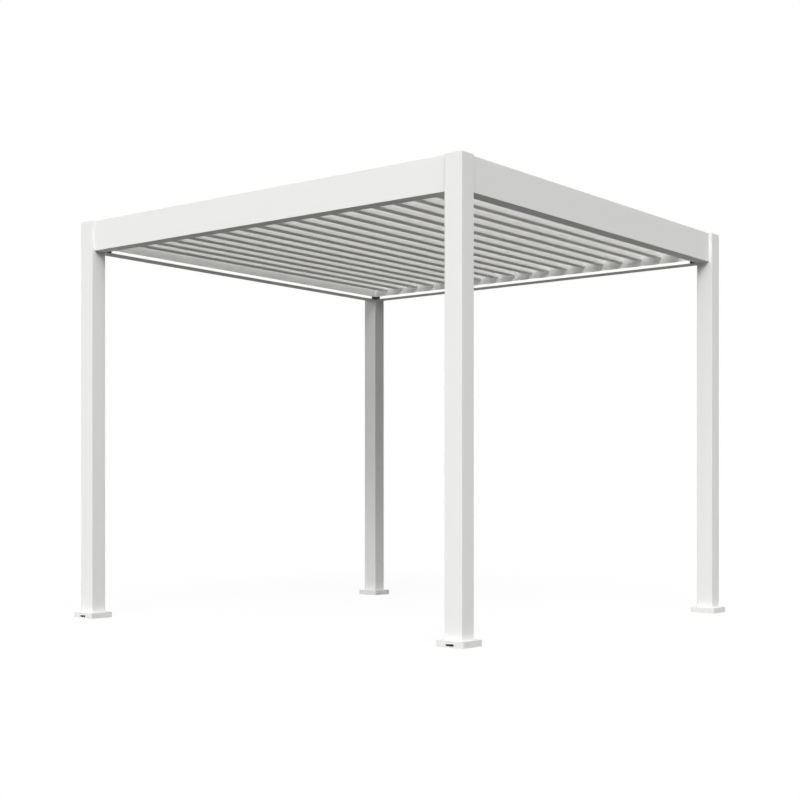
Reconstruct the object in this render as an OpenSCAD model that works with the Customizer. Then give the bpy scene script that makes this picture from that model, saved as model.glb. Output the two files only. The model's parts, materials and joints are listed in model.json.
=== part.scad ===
// Free-standing pergola with a motor-driven louvre roof, on four hollow posts.
// Origin: plan centre, on the ground. X runs along the slats, Y across them, Z up.

/* [Overall] */
// Outer width over the posts, along the slats
overall_w = 3000; // [2400:50:3600]
// Outer depth over the posts, across the slats
overall_d = 3000; // [2700:50:3300]
// Height of the posts and the beams
overall_h = 2543; // [2200:1:2800]

/* [Posts] */
// Side of a square post
post_side = 110; // [100:2:130]
// Wall thickness of a post
post_wall = 3; // [2:0.5:5]
// Radius of a post's upright edges
post_edge_r = 4; // [2:0.5:8]
// Thickness of the plate that closes a post
cap_thick = 4; // [3:0.5:6]

/* [Feet] */
// Side of the square cover round a post's foot
cover_side = 170; // [160:2:190]
// Height of the foot cover
cover_h = 35; // [30:1:50]
// Wall thickness of the foot cover
cover_wall = 3; // [2:0.5:4]
// Width of the drain outlet in a foot cover
drain_w = 50; // [30:2:60]
// Height of the drain outlet
drain_h = 12; // [6:1:14]
// Side of the steel base plate under a post
base_side = 160; // [150:2:162]
// Thickness of the base plate
base_thick = 8; // [6:1:10]
// Spacing of the four anchor holes, both ways
anchor_spacing = 136; // [132:1:138]
// Radius of an anchor hole
anchor_r = 6; // [4:0.5:6.5]

/* [Beams] */
// Height of a gutter beam
beam_h = 190; // [170:5:220]
// Width of a gutter beam
beam_w = 86; // [80:1:88]
// Distance from a post's outer face in to the beam's outer face
beam_setback = 20; // [12:1:24]
// Width of the closed box along a beam's outer side
beam_box_w = 40; // [35:1:44]
// Wall thickness of a beam
beam_wall = 2.5; // [2.5:0.5:4]
// Radius of a beam's long edges
beam_edge_r = 1; // [0.4:0.1:1.2]
// Height of the gutter floor above the beam's underside
gutter_floor_h = 50; // [40:1:60]
// Height of the gutter's inner wall above the beam's underside
inner_wall_h = 109; // [100:1:112]

/* [Lights] */
// Height of a light strip
led_h = 20; // [14:1:24]
// Depth of a light strip off the beam
led_t = 8; // [5:1:9]
// Gap from the beam's underside up to a light strip
led_lift = 2; // [1:0.5:6]
// Length of each leg of a corner connector
connector_leg = 48; // [30:1:60]
// Depth of a corner connector off the beam
connector_t = 10; // [8:1:12]

/* [Slats] */
// Number of roof slats
slat_count = 18; // [17:1:19]
// Distance between neighbouring slat axles
slat_pitch = 149.5; // [142:0.5:150]
// Height of the slat axles above the beams' underside
axle_h = 129; // [129:1:132]
// Thickness of a slat
slat_t = 18; // [14:1:22]
// Slope of a slat's bevelled long edges, measured along its width
slat_bevel = 15; // [10:1:18]
// Gap between neighbouring slats when the roof is shut
slat_gap = 6.8; // [6.6:0.1:8]
// Wall thickness of a hollow slat
slat_wall = 1.6; // [1.2:0.1:2.5]
// Gap between a slat's end and the beam
slat_end_gap = 6; // [5:0.5:8]
// Thickness of a slat's end cap
end_cap_t = 4; // [3:0.5:6]

/* [Drive] */
// Radius of a slat's axle
axle_r = 6; // [5:0.5:7]
// Thickness of a bearing rail
rail_t = 12; // [10:1:12]
// Height of a bearing rail
rail_h = 40; // [34:1:44]
// Distance from a slat's axle to its crank pin
crank_len = 45; // [38:1:46]
// Radius of a crank pin
crank_pin_r = 4; // [3:0.5:4.5]
// Height of the drive bar
bar_h = 20; // [16:1:22]
// Thickness of the drive bar
bar_t = 5; // [4:0.5:6]
// Length of the motor housing
motor_len = 150; // [120:5:170]
// Height of the motor housing
motor_h = 60; // [50:1:64]

/* [Hidden] */
$fn = 48;
SLATS = [for (i = [1:slat_count]) str("slat_", i < 10 ? "0" : "", i)];
CORNERS = ["front_left", "front_right", "back_left", "back_right"];
SIDES = ["front", "back", "left", "right"];

WHITE = [0.93, 0.93, 0.92];
STEEL = [0.62, 0.64, 0.66];

half_w = overall_w / 2;
half_d = overall_d / 2;
beam_z = overall_h - beam_h;
axle_z = beam_z + axle_h;
// Distance from a post's outer face in to the inner face of a beam
beam_inner = beam_setback + beam_w;
rail_z = beam_z + inner_wall_h;
slat_end_x = half_w - beam_inner - slat_end_gap;
slat_face = slat_pitch - slat_gap;
// Radial clearance of an axle or pin that turns in its bore
run_clear = 0.05;
// Radial clearance of the crank pins that only follow
loose_clear = 0.5;
// Crank arms and drive bar, as distances in from the end of the slats
crank_x = slat_end_x + slat_end_gap + rail_t + 4;
crank_t = 6;
bar_x = crank_x + crank_t + 1;
// Direction of the cranks with the roof open, from +Y towards +Z
crank_angle = -45;
boss_r = 9;

function corner_x(c) = (c == 0 || c == 2) ? -1 : 1;
function corner_y(c) = (c < 2) ? -1 : 1;
function axle_y(i) = (i - (slat_count + 1) / 2) * slat_pitch;

// Moves a shape drawn for the corner at +X +Y to another corner
module at_corner(c) {
    scale_x = corner_x(c);
    scale_y = corner_y(c);
    translate([scale_x * half_w, scale_y * half_d, 0])
        mirror([scale_x < 0 ? 1 : 0, 0, 0])
            mirror([0, scale_y < 0 ? 1 : 0, 0]) children();
}

// Square with rounded corners, from the origin towards -X -Y
module rounded_square(side, r) {
    translate([-side / 2, -side / 2]) {
        square([side - 2 * r, side], center = true);
        square([side, side - 2 * r], center = true);
        for (x = [-1, 1], y = [-1, 1])
            translate([x * (side / 2 - r), y * (side / 2 - r)]) circle(r);
    }
}

// Hollow post with gutter inlets at the top and a drain at the foot
module post(c) {
    inlet_w = beam_w - beam_box_w - 3 * beam_wall;
    inlet_u = beam_setback + beam_box_w + beam_wall;
    inlet_z = beam_z + gutter_floor_h + 4;
    inlet_h = 44;
    color(WHITE) at_corner(c) difference() {
        translate([0, 0, base_thick]) linear_extrude(overall_h - base_thick - cap_thick)
            difference() {
                rounded_square(post_side, post_edge_r);
                translate([-post_wall, -post_wall])
                    rounded_square(post_side - 2 * post_wall, post_edge_r / 2);
            }
        translate([-post_side - 1, -inlet_u - inlet_w, inlet_z])
            cube([post_wall + 2, inlet_w, inlet_h]);
        translate([-inlet_u - inlet_w, -post_side - 1, inlet_z])
            cube([inlet_w, post_wall + 2, inlet_h]);
        translate([-post_wall - 1, -(post_side + drain_w) / 2, base_thick])
            cube([post_wall + 2, drain_w, drain_h]);
    }
}

// Plate on a post's top, with a collar that sits inside the tube
module post_cap(c) {
    collar_gap = 0.5;
    collar_h = 18;
    collar_side = post_side - 2 * post_wall - 2 * collar_gap;
    collar_wall = 3;
    inset = post_wall + collar_gap;
    color(WHITE) at_corner(c) {
        translate([0, 0, overall_h - cap_thick]) linear_extrude(cap_thick)
            rounded_square(post_side, post_edge_r);
        translate([-inset, -inset, overall_h - cap_thick - collar_h])
            linear_extrude(collar_h + 1) difference() {
                rounded_square(collar_side, 2);
                translate([-collar_wall, -collar_wall])
                    rounded_square(collar_side - 2 * collar_wall, 1);
            }
    }
}

// Box-shaped cover round a post's foot, with the drain outlet on its outer side
module foot_cover(c) {
    proud = (cover_side - post_side) / 2;
    fit_gap = 0.5;
    outlet_z = 7;
    color(WHITE) at_corner(c) translate([proud, proud, 0]) difference() {
        linear_extrude(cover_h) rounded_square(cover_side, 3);
        translate([-cover_wall, -cover_wall, -1])
            linear_extrude(cover_h - cover_wall + 1)
                rounded_square(cover_side - 2 * cover_wall, 1);
        translate([-proud + fit_gap, -proud + fit_gap, 0]) linear_extrude(cover_h + 1)
            rounded_square(post_side + 2 * fit_gap, post_edge_r);
        translate([-cover_wall - 1, -(cover_side + drain_w) / 2, outlet_z])
            cube([cover_wall + 2, drain_w, drain_h]);
    }
}

// Steel plates that the posts stand on, each with four anchor holes
module base_plates() {
    inset = (base_side - post_side) / 2;
    color(STEEL) for (c = [0:3]) at_corner(c) translate([inset, inset, 0])
        difference() {
            linear_extrude(base_thick) rounded_square(base_side, 6);
            for (x = [-1, 1], y = [-1, 1])
                translate([-base_side / 2 + x * anchor_spacing / 2,
                           -base_side / 2 + y * anchor_spacing / 2, -1])
                    cylinder(r = anchor_r, h = base_thick + 2);
        }
}

// Cross-section of a beam: closed box outside, open gutter inside.
// First axis runs inward from the outer face, second axis up.
module beam_profile() {
    flange_w = rail_t;
    difference() {
        offset(r = beam_edge_r, $fn = 24) offset(delta = -beam_edge_r)
            polygon([
                [0, 0], [beam_w, 0], [beam_w, inner_wall_h],
                [beam_w - flange_w, inner_wall_h],
                [beam_w - flange_w, inner_wall_h - beam_wall],
                [beam_w - beam_wall, inner_wall_h - beam_wall],
                [beam_w - beam_wall, gutter_floor_h],
                [beam_box_w, gutter_floor_h], [beam_box_w, beam_h], [0, beam_h]
            ]);
        translate([beam_wall, beam_wall])
            square([beam_box_w - 2 * beam_wall, beam_h - 2 * beam_wall]);
        translate([beam_box_w, beam_wall])
            square([beam_w - beam_box_w - beam_wall, gutter_floor_h - 2 * beam_wall]);
    }
}

// Carries a shape drawn along the beam on the back (+Y) side round to another side.
// There, X runs along the beam, Y is the distance in from the posts' outer face.
module at_side(s) {
    turn = (s == 0) ? 180 : (s == 1) ? 0 : (s == 2) ? 90 : -90;
    reach = (s < 2) ? half_d : half_w;
    rotate([0, 0, turn]) translate([0, reach, 0]) mirror([0, 1, 0]) children();
}

function side_len(s) = (s < 2) ? overall_w : overall_d;

module beam(s) {
    span = side_len(s) - 2 * post_side;
    color(WHITE) at_side(s) translate([-span / 2, beam_setback, beam_z])
        rotate([90, 0, 90]) linear_extrude(span) beam_profile();
}

// Light strip low on a beam's inner face, between two corner connectors
module light_strip(s) {
    span = side_len(s) - 2 * (post_side + connector_leg);
    color([1, 0.99, 0.94]) at_side(s)
        translate([-span / 2, beam_inner, beam_z + led_lift]) cube([span, led_t, led_h]);
}

// Black corner pieces that join the light strips round the posts' inner edges
module light_connectors() {
    drop = 1;
    reach = post_side - beam_inner;
    color([0.05, 0.05, 0.05]) for (c = [0:3]) at_corner(c)
        translate([0, 0, beam_z + led_lift + drop]) {
            translate([-post_side - connector_leg, -beam_inner - connector_t, 0])
                cube([connector_leg, connector_t, led_h - 2 * drop]);
            translate([-beam_inner - connector_t, -post_side - connector_leg, 0])
                cube([connector_t, connector_leg, led_h - 2 * drop]);
        }
}

// Rail on a side beam's inner wall, with one bore for each slat's axle
module bearing_rail(side) {
    span = overall_d - 2 * post_side;
    x0 = half_w - beam_inner;
    color(STEEL) mirror([side < 0 ? 1 : 0, 0, 0]) difference() {
        translate([x0, -span / 2, rail_z]) cube([rail_t, span, rail_h]);
        for (i = [1:slat_count])
            translate([x0 - 1, axle_y(i), axle_z]) rotate([0, 90, 0])
                cylinder(r = axle_r + run_clear, h = rail_t + 2);
    }
}

// Cross-section of a slat with the roof shut: first axis +Y, second axis up
module slat_profile(inset) {
    lean = inset * slat_bevel / slat_t;
    side = inset * sqrt(slat_t * slat_t + slat_bevel * slat_bevel) / slat_t;
    half = (slat_face + slat_bevel) / 2;
    top = slat_t / 2 - inset;
    polygon([
        [-half + side + lean, -top], [half - slat_bevel - side + lean, -top],
        [half - side - lean, top], [-half + slat_bevel + side - lean, top]
    ]);
}

// Hollow slat with end caps, axle ends and a crank, drawn open, about its axle
module slat(i) {
    body = 2 * (slat_end_x - end_cap_t);
    left_axle = crank_x + crank_t - slat_end_x;
    right_axle = (i == 1) ? slat_end_gap + rail_t + 12 : slat_end_gap + rail_t + 3;
    color(WHITE) translate([0, axle_y(i), axle_z]) {
        rotate([90, 0, 0]) rotate([90, 0, 90])
            difference() {
                translate([0, 0, -slat_end_x]) linear_extrude(2 * slat_end_x) slat_profile(0);
                translate([0, 0, -body / 2]) linear_extrude(body) slat_profile(slat_wall);
            }
        translate([slat_end_x - 1, 0, 0]) rotate([0, 90, 0])
            cylinder(r = axle_r, h = right_axle + 1);
        translate([-slat_end_x - left_axle, 0, 0]) rotate([0, 90, 0])
            cylinder(r = axle_r, h = left_axle + 1);
        translate([-crank_x - crank_t, 0, 0]) rotate([crank_angle, 0, 0]) crank();
    }
}

// Crank arm along +Y, with the pin that carries the drive bar
module crank() {
    arm_w = 12;
    pin_out = bar_t + 3;
    rotate([0, 90, 0]) cylinder(r = boss_r, h = crank_t);
    translate([0, crank_len, 0]) rotate([0, 90, 0]) cylinder(r = boss_r - 1, h = crank_t);
    translate([0, 0, -arm_w / 2]) cube([crank_t, crank_len, arm_w]);
    translate([-pin_out, crank_len, 0]) rotate([0, 90, 0])
        cylinder(r = crank_pin_r, h = pin_out + 1);
}

// Flat bar that joins all the crank pins; the first pin is the close-fitting one
module drive_bar() {
    end_run = 18;
    dy = crank_len * cos(crank_angle);
    dz = crank_len * sin(crank_angle);
    span = (slat_count - 1) * slat_pitch;
    color(STEEL) translate([-bar_x - bar_t, dy, axle_z + dz]) difference() {
        translate([0, -span / 2 - end_run, -bar_h / 2]) cube([bar_t, span + 2 * end_run, bar_h]);
        for (i = [1:slat_count])
            translate([-1, axle_y(i), 0]) rotate([0, 90, 0])
                cylinder(r = crank_pin_r + (i == 1 ? run_clear : loose_clear), h = bar_t + 2);
    }
}

// Geared motor in the right-hand gutter, on the first slat's axle
module drive_motor() {
    x0 = half_w - beam_inner + rail_t + 2;
    wide = beam_w - beam_box_w - rail_t - 2;
    axle_side = 50;
    foot_z = beam_z + gutter_floor_h;
    color([0.25, 0.26, 0.28]) difference() {
        union() {
            translate([x0, axle_y(1) - axle_side, axle_z - motor_h / 2])
                cube([wide, motor_len, motor_h]);
            for (y = [-axle_side + 20, motor_len - axle_side - 36])
                translate([x0 + 4, axle_y(1) + y, foot_z])
                    cube([wide - 8, 16, axle_z - motor_h / 2 - foot_z + 1]);
        }
        translate([x0 - 1, axle_y(1), axle_z]) rotate([0, 90, 0])
            cylinder(r = axle_r + loose_clear, h = 14);
    }
}

for (c = [0:3]) {
    post(c);
    post_cap(c);
    foot_cover(c);
}
for (s = [0:3]) {
    beam(s);
    light_strip(s);
}
base_plates();
light_connectors();
bearing_rail(-1);  // bearing_rail_left
bearing_rail(1);  // bearing_rail_right
drive_bar();
drive_motor();
for (i = [1:slat_count])
    slat(i);
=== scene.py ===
"""Looks of the louvre pergola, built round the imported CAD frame."""
import json
import math

import bmesh
import bpy
from mathutils import Matrix, Vector

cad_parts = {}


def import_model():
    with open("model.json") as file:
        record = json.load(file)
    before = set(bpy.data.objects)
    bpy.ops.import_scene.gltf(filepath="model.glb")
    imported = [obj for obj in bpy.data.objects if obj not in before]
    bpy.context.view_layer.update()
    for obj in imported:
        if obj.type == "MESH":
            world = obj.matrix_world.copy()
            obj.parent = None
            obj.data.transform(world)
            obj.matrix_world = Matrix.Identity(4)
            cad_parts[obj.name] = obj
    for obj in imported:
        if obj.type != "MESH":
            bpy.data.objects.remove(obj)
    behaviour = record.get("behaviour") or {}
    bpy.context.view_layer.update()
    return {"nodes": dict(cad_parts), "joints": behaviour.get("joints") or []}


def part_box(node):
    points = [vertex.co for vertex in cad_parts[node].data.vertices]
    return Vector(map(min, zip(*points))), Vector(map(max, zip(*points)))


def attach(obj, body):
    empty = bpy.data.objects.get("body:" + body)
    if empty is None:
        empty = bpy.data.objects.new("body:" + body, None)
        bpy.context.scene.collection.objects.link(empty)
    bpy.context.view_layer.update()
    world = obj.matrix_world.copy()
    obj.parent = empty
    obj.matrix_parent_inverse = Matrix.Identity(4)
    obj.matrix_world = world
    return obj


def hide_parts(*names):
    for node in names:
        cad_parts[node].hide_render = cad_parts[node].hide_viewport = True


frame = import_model()
nodes = frame["nodes"]

CORNERS = ("front_left", "front_right", "back_left", "back_right")
SIDES = ("front", "back", "left", "right")
SLATS = sorted(n for n in nodes if n.startswith("slat_"))
MM = 0.001


# ---------------------------------------------------------------- materials

def new_material(name):
    mat = bpy.data.materials.new(name)
    mat.use_nodes = True
    tree = mat.node_tree
    return mat, tree, tree.nodes["Principled BSDF"]


def object_coords(tree, stretch=None):
    coords = tree.nodes.new("ShaderNodeTexCoord")
    if stretch is None:
        return coords.outputs["Object"]
    mapping = tree.nodes.new("ShaderNodeMapping")
    mapping.inputs["Scale"].default_value = stretch
    tree.links.new(coords.outputs["Object"], mapping.inputs["Vector"])
    return mapping.outputs["Vector"]


def noise(tree, scale, detail=2.0, stretch=None):
    """Noise on the object's own coordinates; stretch squeezes it along an axis."""
    tex = tree.nodes.new("ShaderNodeTexNoise")
    tex.inputs["Scale"].default_value = scale
    tex.inputs["Detail"].default_value = detail
    tree.links.new(object_coords(tree, stretch), tex.inputs["Vector"])
    return tex.outputs["Fac"]


def spangle(tree, scale):
    """Cells like the zinc crystals on galvanised steel, one grey value a cell."""
    tex = tree.nodes.new("ShaderNodeTexVoronoi")
    tex.inputs["Scale"].default_value = scale
    tree.links.new(object_coords(tree), tex.inputs["Vector"])
    return tex.outputs["Color"]


def span(tree, value, low, high):
    """Maps the middle of a 0 to 1 value onto low to high."""
    node = tree.nodes.new("ShaderNodeMapRange")
    node.inputs["From Min"].default_value = 0.25
    node.inputs["From Max"].default_value = 0.75
    node.inputs["To Min"].default_value = low
    node.inputs["To Max"].default_value = high
    tree.links.new(value, node.inputs["Value"])
    return node.outputs["Result"]


def blend_colors(tree, factor, a, b):
    node = tree.nodes.new("ShaderNodeMix")
    node.data_type = "RGBA"
    node.inputs["A"].default_value = (*a, 1)
    node.inputs["B"].default_value = (*b, 1)
    tree.links.new(factor, node.inputs["Factor"])
    return node.outputs["Result"]


def bump(tree, bsdf, heights, distance):
    """Adds up heights, each (value, weight), as a bump of that depth in metres."""
    total = None
    for value, weight in heights:
        scaled = tree.nodes.new("ShaderNodeMath")
        scaled.operation = "MULTIPLY"
        scaled.inputs[1].default_value = weight
        tree.links.new(value, scaled.inputs[0])
        if total is None:
            total = scaled.outputs[0]
            continue
        adder = tree.nodes.new("ShaderNodeMath")
        tree.links.new(total, adder.inputs[0])
        tree.links.new(scaled.outputs[0], adder.inputs[1])
        total = adder.outputs[0]
    node = tree.nodes.new("ShaderNodeBump")
    node.inputs["Distance"].default_value = distance
    tree.links.new(total, node.inputs["Height"])
    tree.links.new(node.outputs["Normal"], bsdf.inputs["Normal"])


def powder_coat(name, color, grain=900.0, dust=0.985):
    """Fine-textured powder coat: orange peel, speckled sheen, slight cloudiness."""
    mat, tree, bsdf = new_material(name)
    bsdf.inputs["Specular IOR Level"].default_value = 0.15
    cloud = noise(tree, 3.0, 3.0)
    dim = tuple(c * dust for c in color)
    tree.links.new(blend_colors(tree, cloud, dim, color), bsdf.inputs["Base Color"])
    speckle = noise(tree, grain, 2.0)
    tree.links.new(span(tree, speckle, 0.55, 0.72), bsdf.inputs["Roughness"])
    peel = noise(tree, grain / 4, 1.0)
    bump(tree, bsdf, [(speckle, 0.6), (peel, 1.0)], 0.00006)
    return mat


def brushed_metal(name, color, rough, stretch):
    """Bare metal with fine lines along its length; stretch is small on that axis."""
    mat, tree, bsdf = new_material(name)
    bsdf.inputs["Metallic"].default_value = 1.0
    lines = noise(tree, 600.0, 3.0, stretch)
    stains = noise(tree, 14.0, 3.0)
    dim = tuple(c * 0.86 for c in color)
    tree.links.new(blend_colors(tree, stains, dim, color), bsdf.inputs["Base Color"])
    tree.links.new(span(tree, lines, rough - 0.07, rough + 0.08), bsdf.inputs["Roughness"])
    bump(tree, bsdf, [(lines, 1.0)], 0.00004)
    return mat


def galvanised(name, color):
    mat, tree, bsdf = new_material(name)
    bsdf.inputs["Metallic"].default_value = 1.0
    cells = spangle(tree, 160.0)
    dim = tuple(c * 0.72 for c in color)
    tree.links.new(blend_colors(tree, cells, dim, color), bsdf.inputs["Base Color"])
    tree.links.new(span(tree, cells, 0.36, 0.56), bsdf.inputs["Roughness"])
    bump(tree, bsdf, [(noise(tree, 300.0, 2.0), 1.0)], 0.00003)
    return mat


def moulded_plastic(name, color):
    """Satin black plastic with a fine spark-eroded grain."""
    mat, tree, bsdf = new_material(name)
    dim = tuple(c * 0.7 for c in color)
    tree.links.new(blend_colors(tree, noise(tree, 25.0), dim, color), bsdf.inputs["Base Color"])
    grain = noise(tree, 1400.0, 2.0)
    tree.links.new(span(tree, grain, 0.40, 0.56), bsdf.inputs["Roughness"])
    bump(tree, bsdf, [(grain, 1.0)], 0.00004)
    return mat


def lit_diffuser(name, color, strength):
    """Opal cover, lit evenly from inside, with a faint unevenness along it."""
    mat, tree, bsdf = new_material(name)
    cloud = noise(tree, 60.0, 1.0)
    lit, dim = tuple(c * 0.6 for c in color), tuple(c * 0.57 for c in color)
    tree.links.new(blend_colors(tree, cloud, dim, lit), bsdf.inputs["Base Color"])
    bsdf.inputs["Emission Color"].default_value = (*color, 1)
    bsdf.inputs["Emission Strength"].default_value = strength
    grain = noise(tree, 1200.0, 2.0)
    tree.links.new(span(tree, grain, 0.42, 0.55), bsdf.inputs["Roughness"])
    bump(tree, bsdf, [(grain, 1.0)], 0.00003)
    return mat


# The slight warm cast, with blue a little lower, is painted light: it stands in for warm light in
# the shade.
WHITE = (0.84, 0.84, 0.826)
ALONG_X = (0.02, 1.0, 1.0)
ALONG_Y = (1.0, 0.02, 1.0)
coat = powder_coat("white_powder_coat", WHITE)
# The slats wear the same white powder coat as the frame. Their lighter colour is painted light: the
# extra brightness stands in for light on the slats. Their warm cast is painted too.
slat_white_painted_lighter = powder_coat("slat_white_coat_painted_lighter", (0.91, 0.908, 0.888), grain=1100.0)
diffuser = lit_diffuser("opal_diffuser", (1.0, 0.99, 0.975), 0.78)
plastic = moulded_plastic("black_moulded_plastic", (0.013, 0.013, 0.014))
mill = brushed_metal("mill_aluminium", (0.66, 0.67, 0.68), 0.38, ALONG_Y)
zinc = galvanised("galvanised_steel", (0.60, 0.61, 0.63))
stainless = brushed_metal("stainless_steel", (0.62, 0.62, 0.61), 0.28, (1.0, 1.0, 1.0))
housing = powder_coat("dark_housing_coat", (0.045, 0.047, 0.05), grain=1000.0, dust=0.8)

for name, node in nodes.items():
    if name.startswith("bearing_rail") or name == "drive_bar":
        finish = mill
    elif name == "base_plates":
        finish = zinc
    elif name == "light_connectors":
        finish = plastic
    elif name == "drive_motor":
        finish = housing
    elif name.startswith("light_strip"):
        finish = diffuser
    elif name.startswith("slat"):
        finish = slat_white_painted_lighter
    else:
        finish = coat
    node.data.materials.clear()
    node.data.materials.append(finish)


# ---------------------------------------------------------------- mesh helpers

def arc(center, radius, start, end, steps):
    """Points on a circular arc, angles in degrees."""
    points = []
    for i in range(steps + 1):
        a = math.radians(start + (end - start) * i / steps)
        points.append((center[0] + radius * math.cos(a), center[1] + radius * math.sin(a)))
    return points


def rounded(points, radius, steps=3):
    """Closed outline with each corner rounded; radius is a number or one per corner."""
    out = []
    n = len(points)
    for i, point in enumerate(points):
        r = radius[i] if isinstance(radius, (list, tuple)) else radius
        here = Vector(point)
        back = (Vector(points[i - 1]) - here).normalized()
        ahead = (Vector(points[(i + 1) % n]) - here).normalized()
        if r == 0:
            out.append(tuple(here))
            continue
        half_angle = back.angle(ahead) / 2
        reach = r / math.tan(half_angle)
        center = here + (back + ahead).normalized() * (r / math.sin(half_angle))
        first = here + back * reach - center
        last = here + ahead * reach - center
        for k in range(steps + 1):
            t = k / steps
            out.append(tuple(center + first.lerp(last, t).normalized() * r))
    return out


def shrunk(outline, by):
    """Outline moved inwards by a small distance; the outline runs anticlockwise."""
    out = []
    n = len(outline)
    for i in range(n):
        here = Vector(outline[i])
        before = (here - Vector(outline[i - 1])).normalized()
        after = (Vector(outline[(i + 1) % n]) - here).normalized()
        normal = Vector((-before.y - after.y, before.x + after.x)).normalized()
        slant = max(0.5, normal.dot(Vector((-before.y, before.x))))
        out.append(tuple(here + normal * (by / slant)))
    return out


def anticlockwise(outline):
    area = sum(a[0] * b[1] - b[0] * a[1] for a, b in zip(outline, outline[1:] + outline[:1]))
    return outline if area > 0 else outline[::-1]


def skin(bm, rings):
    """Closed surface through rings of equal length, flat at both ends."""
    rows = [[bm.verts.new(p) for p in ring] for ring in rings]
    n = len(rows[0])
    for low, high in zip(rows, rows[1:]):
        for i in range(n):
            j = (i + 1) % n
            bm.faces.new((low[i], low[j], high[j], high[i]))
    bm.faces.new(rows[0][::-1])
    bm.faces.new(rows[-1])


def plate(bm, outline, low, high, edge, place):
    """Outline extruded from low to high with chamfered rims; place maps (u, v, w)."""
    outline = anticlockwise(outline)
    small = shrunk(outline, edge)
    levels = [(small, low), (outline, low + edge), (outline, high - edge), (small, high)]
    if edge == 0:
        levels = [(outline, low), (outline, high)]
    skin(bm, [[place(u, v, w) for u, v in ring] for ring, w in levels])


def turned(bm, profile, place, sides=24):
    """Turned solid: profile is (radius, distance along the axis) from end to end."""
    rings = []
    for radius, w in profile:
        rings.append([place(u, v, w) for u, v in arc((0, 0), radius, 0, 360, sides)[:-1]])
    skin(bm, rings)


def along_x(y, z, sign=1):
    """Places (u, v, w) with u on Y, v on Z and w along X, about the point y, z."""
    return lambda u, v, w: Vector((sign * w, y + sign * u, z + v))


def at_point(origin, direction):
    """Places (u, v, w) with w from the origin along the direction."""
    turn = Vector(direction).to_track_quat("Z", "Y").to_matrix()
    start = Vector(origin)
    return lambda u, v, w: start + turn @ Vector((u, v, w))


def screw(bm, origin, direction, radius, proud):
    """Low domed screw head with a hexagon socket."""
    place = at_point(origin, direction)
    socket = radius * 0.45
    rings = []
    profile = [(radius, -proud), (radius, proud * 0.25), (radius * 0.86, proud * 0.75),
               (radius * 0.6, proud)]
    for r, w in profile:
        rings.append([place(u, v, w) for u, v in arc((0, 0), r, 0, 360, 18)[:-1]])
    for w in (proud, -proud * 0.5):
        ring = []
        for u, v in arc((0, 0), 1.0, 0, 360, 18)[:-1]:
            a = math.degrees(math.atan2(v, u)) % 60 - 30
            r = socket * math.cos(math.radians(30)) / math.cos(math.radians(a))
            ring.append(place(u * r, v * r, w))
        rings.append(ring)
    skin(bm, rings)


def piece(name, bm, material, body, replaces=(), smooth=30):
    """Turns a bmesh into a piece of the model, with smooth shading below an angle."""
    bmesh.ops.remove_doubles(bm, verts=bm.verts, dist=1e-7)
    bmesh.ops.recalc_face_normals(bm, faces=bm.faces)
    limit = math.radians(smooth)
    for edge in bm.edges:
        flat = len(edge.link_faces) != 2 or edge.calc_face_angle(0) > limit
        edge.smooth = not flat
    for face in bm.faces:
        face.smooth = True
    mesh = bpy.data.meshes.new(name)
    bm.to_mesh(mesh)
    bm.free()
    mesh.materials.append(material)
    obj = bpy.data.objects.new(name, mesh)
    bpy.context.scene.collection.objects.link(obj)
    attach(obj, body)
    if replaces:
        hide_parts(*replaces)
    return obj


def size(node):
    """Lowest and highest corners of a CAD node, as vectors."""
    lo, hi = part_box(node)
    return Vector(lo), Vector(hi)


# ---------------------------------------------------------------- slats

SLAT_T = 18 * MM
SLAT_BEVEL = 15 * MM
BORE_GAP = 6 * MM
RAIL_T = 12 * MM
CRANK_REACH = 45 * MM
CRANK_ANGLE = -45


def slat_axle(name):
    """Middle of a slat's axle: the hinge that the slat turns on."""
    for joint in frame["joints"]:
        if joint["name"] == name + "_tilt":
            return Vector(joint["pos_m"])
    raise ValueError(name)


def slat_outline(half, grooved):
    """Slat section standing on edge, about its axle, as (y, z) points."""
    t = SLAT_T / 2
    corners = [(t, -half), (t, half - SLAT_BEVEL), (-t, half), (-t, -half + SLAT_BEVEL)]
    radii = [1.2 * MM, 1.8 * MM, 1.2 * MM, 1.8 * MM]
    outline = rounded(corners, radii, 3)
    if not grooved:
        return outline
    out = []
    n = len(outline)
    for i, (y, z) in enumerate(outline):
        out.append((y, z))
        next_y, next_z = outline[(i + 1) % n]
        if abs(next_z - z) < half:
            continue
        side = 1 if y > 0 else -1
        way = 1 if next_z > z else -1
        for middle in (-way * 36 * MM, way * 36 * MM):
            for dz, depth in ((-1.4, 0), (-0.8, 0.9), (0.8, 0.9), (1.4, 0)):
                out.append((y - side * depth * MM, middle + way * dz * MM))
    return out


def slat_blade(name, axle, lo, hi):
    """Hollow-looking extrusion with two fine grooves a side and screwed end caps."""
    bm = bmesh.new()
    half = (hi.z - lo.z) / 2
    end = hi_x_of_blade
    cap = 4 * MM
    seam = 0.5 * MM
    place = along_x(axle.y, axle.z)
    plate(bm, slat_outline(half, True), -end + cap + seam, end - cap - seam, 0, place)
    plain = slat_outline(half, False)
    inner = shrunk(anticlockwise(plain), 1.2 * MM)
    for sign in (-1, 1):
        a, b = sorted((sign * (end - cap - 2 * seam), sign * (end - cap)))
        plate(bm, inner, a, b, 0, place)
        a, b = sorted((sign * (end - cap), sign * end))
        plate(bm, plain, a, b, 0.6 * MM, place)
    piece(name + "_blade", bm, slat_white_painted_lighter, name, [name])


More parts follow.
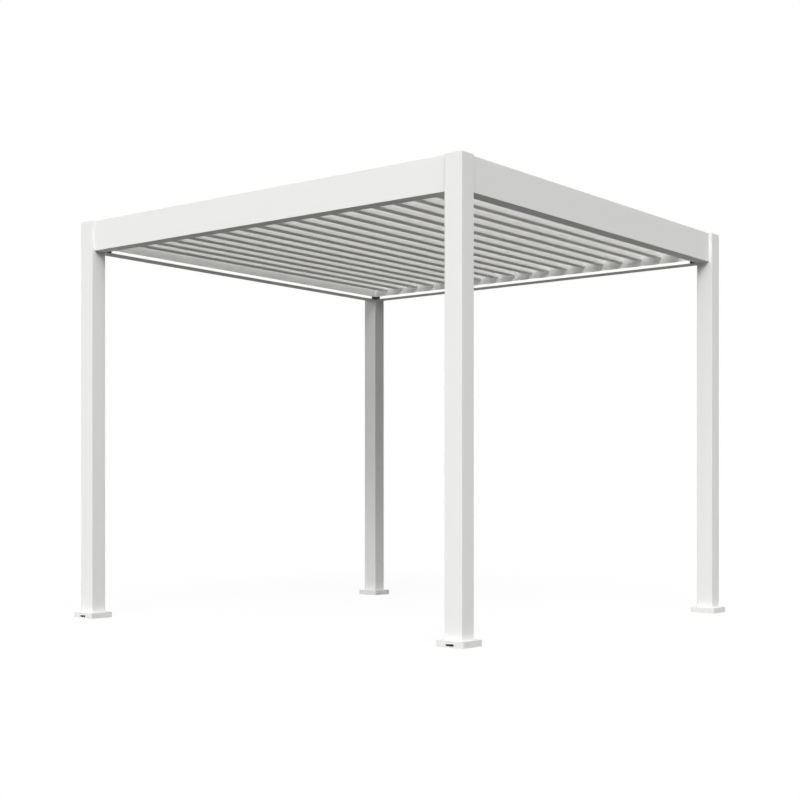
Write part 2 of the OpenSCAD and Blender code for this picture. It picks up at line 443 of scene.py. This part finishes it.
def slat_fittings(name, axle, first):
    """Axle ends, end-cap screws, crank arm, and a crank pin with a groove for a clip."""
    bm = bmesh.new()
    end = hi_x_of_blade
    place = along_x(axle.y, axle.z)
    r = 6 * MM
    inner = end - 0.5 * MM
    left = end + BORE_GAP + RAIL_T + 4 * MM
    right = end + BORE_GAP + RAIL_T + (12 if first else 3) * MM
    turned(bm, [(r, inner), (r, right - 0.8 * MM), (r - 0.8 * MM, right)], place)
    turned(bm, [(r, -left - 0.5 * MM), (r, -inner)], place)
    for sign in (-1, 1):
        for dz in (-52, 52):
            shift = -dz / 52 * 1.0
            origin = (sign * end, axle.y + shift * MM, axle.z + dz * MM)
            screw(bm, origin, (sign, 0, 0), 3.4 * MM, 0.8 * MM)
    arm = math.radians(CRANK_ANGLE)
    cos_a, sin_a = math.cos(arm), math.sin(arm)
    edge = 41.8
    far = 131.4
    outline = (arc((0, 0), 9 * MM, edge, 360 - edge, 18)
               + arc((CRANK_REACH, 0), 8 * MM, -far, far, 16))
    turned_arm = [(u * cos_a - v * sin_a, u * sin_a + v * cos_a) for u, v in outline]
    plate(bm, turned_arm, -left - 6 * MM, -left, 0.7 * MM, place)
    pin_y = axle.y + CRANK_REACH * cos_a
    pin_z = axle.z + CRANK_REACH * sin_a
    pin = at_point((-left - 5.5 * MM, pin_y, pin_z), (-1, 0, 0))
    turned(bm, [(4 * MM, 0), (4 * MM, 6.6 * MM), (3.2 * MM, 6.6 * MM), (3.2 * MM, 7.4 * MM),
                (4 * MM, 7.4 * MM), (4 * MM, 8.1 * MM), (3.5 * MM, 8.5 * MM)], pin)
    screw(bm, (-left - 6 * MM, axle.y, axle.z), (-1, 0, 0), 5 * MM, 0.8 * MM)
    piece(name + "_fittings", bm, stainless, name, [name])


def slats():
    for name in SLATS:
        lo, hi = size(name)
        axle = slat_axle(name)
        slat_blade(name, axle, lo, hi)
        slat_fittings(name, axle, name == SLATS[0])


# ---------------------------------------------------------------- fixed pieces

def light_strip(side):
    """White channel with a domed opal cover and small end plugs."""
    node = "light_strip_" + side
    lo, hi = size(node)
    runs_x = side in ("front", "back")
    depth = (hi.y - lo.y) if runs_x else (hi.x - lo.x)
    height = hi.z - lo.z
    start, end = (lo.x, hi.x) if runs_x else (lo.y, hi.y)

    def place(u, v, w):
        """u is the distance off the beam, v the height, w along the beam."""
        if side == "front":
            return Vector((w, lo.y + u, lo.z + v))
        if side == "back":
            return Vector((w, hi.y - u, lo.z + v))
        if side == "left":
            return Vector((lo.x + u, w, lo.z + v))
        return Vector((hi.x - u, w, lo.z + v))

    wall = 1.1 * MM
    lip = depth - 1.6 * MM
    channel = rounded([(0, 0), (lip, 0), (lip, wall), (wall, wall), (wall, height - wall),
                       (lip, height - wall), (lip, height), (0, height)], 0.3 * MM, 2)
    bm = bmesh.new()
    plate(bm, channel, start, end, 0, place)
    piece(node + "_channel", bm, coat, "frame", [node])

    low, high = wall + 0.1 * MM, height - wall - 0.1 * MM
    dome = rounded([(wall + 0.1 * MM, low), (depth, low), (depth, high), (wall + 0.1 * MM, high)],
                   [0.3 * MM, 4.5 * MM, 4.5 * MM, 0.3 * MM], 6)
    bm = bmesh.new()
    plug = 2.5 * MM
    plate(bm, dome, start + plug, end - plug, 0, place)
    piece(node + "_cover", bm, diffuser, "frame", [node])

    bm = bmesh.new()
    for a, b in ((start, start + plug - 0.2 * MM), (end - plug + 0.2 * MM, end)):
        plate(bm, shrunk(anticlockwise(dome), 0.15 * MM), a, b, 0.3 * MM, place)
    piece(node + "_plugs", bm, coat, "frame", [node])


def corner_place(corner):
    """Maps distances in from the posts' outer faces, and a height, onto a corner."""
    sx = -1 if corner.endswith("left") else 1
    sy = -1 if corner.startswith("front") else 1
    lo, hi = size("post_" + corner)
    x = lo.x if sx < 0 else hi.x
    y = lo.y if sy < 0 else hi.y
    return lambda u, v, w: Vector((x - sx * u, y - sy * v, w))


def light_connector(corner):
    """Moulded corner piece: slim elbow, thicker sleeves at its ends and a corner block."""
    lo, hi = size("light_connectors")
    place = corner_place(corner)
    near, far, reach, post = 106 * MM, 116 * MM, 158 * MM, 110 * MM
    slim = 1.2 * MM
    lift = 1.0 * MM
    bm = bmesh.new()
    elbow = [(near, post), (post, post), (post, near), (reach - MM, near),
             (reach - MM, far - slim), (far - slim, far - slim),
             (far - slim, reach - MM), (near, reach - MM)]
    plate(bm, rounded(elbow, 0.5 * MM, 2), lo.z + lift, hi.z - lift, 0.4 * MM, place)
    block = [(post, post), (far + 10 * MM, post), (far + 10 * MM, far), (far, far),
             (far, far + 10 * MM), (post, far + 10 * MM)]
    plate(bm, rounded(block, [0.5 * MM, MM, MM, 0.8 * MM, MM, MM], 3), lo.z, hi.z, 0.7 * MM, place)
    for a in (reach - 12 * MM,):
        sleeve = rounded([(a, near), (reach, near), (reach, far), (a, far)], 0.9 * MM, 3)
        plate(bm, sleeve, lo.z, hi.z, 0.7 * MM, place)
        plate(bm, [(v, u) for u, v in sleeve], lo.z, hi.z, 0.7 * MM, place)
    piece("light_connector_" + corner, bm, plastic, "frame", ["light_connectors"])

    bm = bmesh.new()
    middle = (lo.z + hi.z) / 2
    out = place(1, 0, 0) - place(0, 0, 0)
    across = place(0, 1, 0) - place(0, 0, 0)
    spot = (far + 10 * MM + reach - 12 * MM) / 2
    screw(bm, place(spot, far - slim, middle), across, 2.6 * MM, 0.8 * MM)
    screw(bm, place(far - slim, spot, middle), out, 2.6 * MM, 0.8 * MM)
    piece("connector_screws_" + corner, bm, stainless, "frame")


def rail_bushings(side):
    """Flanged plastic bushings and rail screws, on the rail's inner and outer faces."""
    lo, hi = size("bearing_rail_" + side)
    sign = -1 if side == "left" else 1
    inner = min(abs(lo.x), abs(hi.x))
    outer = max(abs(lo.x), abs(hi.x))
    bm = bmesh.new()
    screws = bmesh.new()
    axles = [slat_axle(name) for name in SLATS]
    for axle in axles:
        bore, rim = 6.1 * MM, 8.6 * MM
        for face, way in ((inner, -1), (outer, 1)):
            place = at_point((sign * face, axle.y, axle.z), (sign * way, 0, 0))
            rings = []
            for r, w in ((bore, 0), (rim, 0), (rim, 1.0 * MM), (rim - 0.6 * MM, 1.6 * MM),
                         (bore + 0.3 * MM, 1.6 * MM), (bore, 1.2 * MM)):
                rings.append([place(u, v, w) for u, v in arc((0, 0), r, 0, 360, 28)[:-1]])
            rows = [[bm.verts.new(p) for p in ring] for ring in rings]
            for k, row in enumerate(rows):
                other = rows[(k + 1) % len(rows)]
                for i in range(len(row)):
                    j = (i + 1) % len(row)
                    bm.faces.new((row[i], row[j], other[j], other[i]))
    piece("rail_bushings_" + side, bm, plastic, "frame")
    for a, b in zip(axles, axles[1:]):
        spot = (sign * outer, (a.y + b.y) / 2, axles[0].z - 8 * MM)
        screw(screws, spot, (sign, 0, 0), 4 * MM, 1.6 * MM)
    piece("rail_screws_" + side, screws, stainless, "frame")


def bar_washers():
    """Thin washers on the drive bar round each crank pin's hole."""
    lo, hi = size("drive_bar")
    bm = bmesh.new()
    arm = math.radians(CRANK_ANGLE)
    for name in SLATS:
        axle = slat_axle(name)
        spot = (lo.x, axle.y + CRANK_REACH * math.cos(arm), axle.z + CRANK_REACH * math.sin(arm))
        place = at_point(spot, (-1, 0, 0))
        rings = []
        for r, w in ((4.6, 0), (8.2, 0), (8.2, 0.5), (7.9, 0.8), (4.9, 0.8), (4.6, 0.5)):
            rings.append([place(u, v, w * MM) for u, v in arc((0, 0), r * MM, 0, 360, 24)[:-1]])
        rows = [[bm.verts.new(p) for p in ring] for ring in rings]
        for k, row in enumerate(rows):
            other = rows[(k + 1) % len(rows)]
            for i in range(len(row)):
                j = (i + 1) % len(row)
                bm.faces.new((row[i], row[j], other[j], other[i]))
    piece("bar_washers", bm, stainless, "drive_bar")


def motor():
    """Geared motor: ribbed body, gearbox round the axle, end bell, gland and feet."""
    lo, hi = size("drive_motor")
    axle = slat_axle(SLATS[0])
    low_x, high_x = lo.x, hi.x
    wide = high_x - low_x
    mid_x = (low_x + high_x) / 2
    mid_z = axle.z
    tall = 60 * MM

    def section(w_scale, h_scale, r):
        a, b = wide / 2 * w_scale, tall / 2 * h_scale
        return rounded([(-a, -b), (a, -b), (a, b), (-a, b)], r, 5)

    def place(u, v, w):
        return Vector((mid_x + u, w, mid_z + v))

    start, end = lo.y, hi.y
    bm = bmesh.new()
    gearbox_end = start + 66 * MM
    plate(bm, section(1, 1, 3 * MM), start, gearbox_end, 1.2 * MM, place)
    plate(bm, section(0.8, 0.86, 8 * MM), gearbox_end, end - 22 * MM, 0, place)
    rib = gearbox_end + 5 * MM
    while rib < end - 26 * MM:
        plate(bm, section(0.95, 0.95, 9 * MM), rib, rib + 2.2 * MM, 0.4 * MM, place)
        rib += 6 * MM
    plate(bm, section(0.92, 0.94, 9 * MM), end - 22 * MM, end - 6 * MM, 1.0 * MM, place)
    plate(bm, section(0.7, 0.75, 9 * MM), end - 6 * MM, end - 3 * MM, 0.8 * MM, place)
    foot_low = lo.z
    foot_w = 8 * MM
    for y in (start + 20 * MM, start + 114 * MM):
        foot = rounded([(low_x + 4 * MM, y), (high_x - 4 * MM, y),
                        (high_x - 4 * MM, y + 16 * MM), (low_x + 4 * MM, y + 16 * MM)], 1.5 * MM, 3)
        top = mid_z - tall / 2 * 0.8
        plate(bm, foot, foot_low, top, 0.6 * MM, lambda u, v, w: Vector((u, v, w)))
    piece("motor_housing", bm, housing, "frame", ["drive_motor"])

    bm = bmesh.new()
    gland = at_point((mid_x, end - 5 * MM, mid_z), (0, 1, 0))
    turned(bm, [(7 * MM, 0), (7 * MM, 2.4 * MM), (5.4 * MM, 3 * MM), (5.4 * MM, 4.4 * MM),
                (4.4 * MM, 5 * MM)], gland, 6)
    piece("motor_gland", bm, plastic, "frame", ["drive_motor"])

    bm = bmesh.new()
    for dy in (8 * MM, 58 * MM):
        for dz in (-tall / 2 + 9 * MM, tall / 2 - 9 * MM):
            screw(bm, (high_x - 0.9 * MM, start + dy, mid_z + dz), (1, 0, 0), 3.2 * MM, 0.8 * MM)
            screw(bm, (low_x + 0.9 * MM, start + dy, mid_z + dz), (-1, 0, 0), 3.2 * MM, 0.8 * MM)
    for dx in (-9 * MM, 9 * MM):
        for dy in (9 * MM, 57 * MM):
            screw(bm, (mid_x + dx, start + dy, mid_z + tall / 2 - 0.9 * MM), (0, 0, 1),
                  2.8 * MM, 0.8 * MM)
    collar = at_point((low_x + 0.1 * MM, axle.y, axle.z), (-1, 0, 0))
    turned(bm, [(10 * MM, 0), (10 * MM, 0.8 * MM), (8.5 * MM, 1.2 * MM), (6.6 * MM, 1.2 * MM)],
           collar)
    piece("motor_screws", bm, stainless, "frame", ["drive_motor"])


def cover_screws(corner):
    """Two small screws on each foot cover's top rim, on the faces away from the drain."""
    place = corner_place(corner)
    lo, hi = size("foot_cover_" + corner)
    bm = bmesh.new()
    for u, v in ((55 * MM, -15 * MM), (55 * MM, 125 * MM)):
        screw(bm, place(u, v, hi.z - 0.8 * MM), (0, 0, 1), 3.2 * MM, 0.8 * MM)
    piece("cover_screws_" + corner, bm, coat, "frame")


def cap_screws(corner):
    """Countersunk-looking heads at the corners of a post's top plate."""
    place = corner_place(corner)
    lo, hi = size("post_cap_" + corner)
    bm = bmesh.new()
    for u in (24 * MM, 86 * MM):
        for v in (24 * MM, 86 * MM):
            screw(bm, place(u, v, hi.z - 0.8 * MM), (0, 0, 1), 4 * MM, 0.8 * MM)
    piece("cap_screws_" + corner, bm, stainless, "frame")


hi_x_of_blade = 1.388
slats()
for side in SIDES:
    light_strip(side)
for corner in CORNERS:
    light_connector(corner)
    cover_screws(corner)
    cap_screws(corner)
for side in ("left", "right"):
    rail_bushings(side)
bar_washers()
motor()


# ---------------------------------------------------------------- stage

# Floor: share of light it throws back, shadow depth and plain white as seen
FLOOR_BOUNCE = 0.14
FLOOR_SHADOW = 0.08
FLOOR_WHITE = 0.92

# Soft light sources: azimuth from +X and elevation in degrees, sharpness, strength
SOFTBOXES = (
    (225, 50, 12, 4.0),
    (270, 50, 12, 0.8),
    (135, 18, 12, 2.6),
    (185, 5, 50, 1.2),
    (215, 31, 50, 13.8),
    (245, 18, 50, 1.5),
    (45, 20, 6, 0.9),
)


def camera():
    """Eye-level view of the front left corner, from a little under half the height."""
    eye = Vector((-7.4206, -5.6933, 0.7582))
    heading = math.radians(39.064)
    data = bpy.data.cameras.new("camera")
    data.lens = 63.78
    data.sensor_width = 36.0
    data.shift_x = 0.0391
    data.shift_y = 0.1247
    data.clip_end = 200.0
    cam = bpy.data.objects.new("camera", data)
    cam.location = eye
    forward = Vector((math.cos(heading), math.sin(heading), 0))
    cam.rotation_mode = "QUATERNION"
    cam.rotation_quaternion = forward.to_track_quat("-Z", "Y")
    bpy.context.scene.collection.objects.link(cam)
    bpy.context.scene.camera = cam


def seen_directly(tree):
    """1 for what the camera, a gloss or a clear surface shows, 0 for the light on things."""
    path = tree.nodes.new("ShaderNodeLightPath")
    total = path.outputs["Is Camera Ray"]
    for kind in ("Is Glossy Ray", "Is Transmission Ray"):
        either = tree.nodes.new("ShaderNodeMath")
        either.operation = "MAXIMUM"
        tree.links.new(total, either.inputs[0])
        tree.links.new(path.outputs[kind], either.inputs[1])
        total = either.outputs[0]
    return total


def floor():
    """White seamless floor that keeps a soft shadow, and throws little light back up."""
    half = 60.0
    mesh = bpy.data.meshes.new("floor")
    mesh.from_pydata([(-half, -half, 0), (half, -half, 0), (half, half, 0), (-half, half, 0)],
                     [], [(0, 1, 2, 3)])
    obj = bpy.data.objects.new("floor", mesh)
    bpy.context.scene.collection.objects.link(obj)
    mat, tree, bsdf = new_material("floor")
    tree.nodes.remove(bsdf)
    out = tree.nodes["Material Output"]
    dull = tree.nodes.new("ShaderNodeBsdfDiffuse")
    dull.inputs["Color"].default_value = (FLOOR_BOUNCE, FLOOR_BOUNCE, FLOOR_BOUNCE, 1)
    shadowed = tree.nodes.new("ShaderNodeBsdfDiffuse")
    shadowed.inputs["Color"].default_value = (FLOOR_SHADOW, FLOOR_SHADOW, FLOOR_SHADOW, 1)
    white = tree.nodes.new("ShaderNodeEmission")
    white.inputs["Strength"].default_value = FLOOR_WHITE
    shown = tree.nodes.new("ShaderNodeAddShader")
    tree.links.new(shadowed.outputs[0], shown.inputs[0])
    tree.links.new(white.outputs[0], shown.inputs[1])
    mix = tree.nodes.new("ShaderNodeMixShader")
    tree.links.new(seen_directly(tree), mix.inputs["Fac"])
    tree.links.new(dull.outputs[0], mix.inputs[1])
    tree.links.new(shown.outputs[0], mix.inputs[2])
    tree.links.new(mix.outputs[0], out.inputs["Surface"])
    mesh.materials.append(mat)


def softbox(tree, azimuth, elevation, sharpness, strength):
    """Soft round patch of light in the sky, brightest in one direction."""
    az, el = math.radians(azimuth), math.radians(elevation)
    coords = tree.nodes.new("ShaderNodeTexCoord")
    toward = tree.nodes.new("ShaderNodeVectorMath")
    toward.operation = "DOT_PRODUCT"
    toward.inputs[1].default_value = (math.cos(el) * math.cos(az), math.cos(el) * math.sin(az),
                                      math.sin(el))
    tree.links.new(coords.outputs["Generated"], toward.inputs[0])
    value = toward.outputs["Value"]
    for operation, number in (("MAXIMUM", 0.0), ("POWER", sharpness), ("MULTIPLY", strength)):
        step = tree.nodes.new("ShaderNodeMath")
        step.operation = operation
        step.inputs[1].default_value = number
        tree.links.new(value, step.inputs[0])
        value = step.outputs[0]
    return value


def world():
    """Studio light from large soft sources, in front of a plain white background."""
    scene = bpy.context.scene
    scene.world = bpy.data.worlds.new("studio")
    scene.world.use_nodes = True
    tree = scene.world.node_tree
    background = tree.nodes["Background"]
    background.inputs["Color"].default_value = (1, 1, 1, 1)
    total = None
    for source in SOFTBOXES:
        value = softbox(tree, *source)
        if total is None:
            total = value
            continue
        adder = tree.nodes.new("ShaderNodeMath")
        tree.links.new(total, adder.inputs[0])
        tree.links.new(value, adder.inputs[1])
        total = adder.outputs[0]
    mix = tree.nodes.new("ShaderNodeMix")
    mix.data_type = "FLOAT"
    tree.links.new(seen_directly(tree), mix.inputs["Factor"])
    tree.links.new(total, mix.inputs["A"])
    mix.inputs["B"].default_value = 1.0
    tree.links.new(mix.outputs["Result"], background.inputs["Strength"])


camera()
floor()
world()
bpy.context.scene.view_settings.view_transform = "Standard"
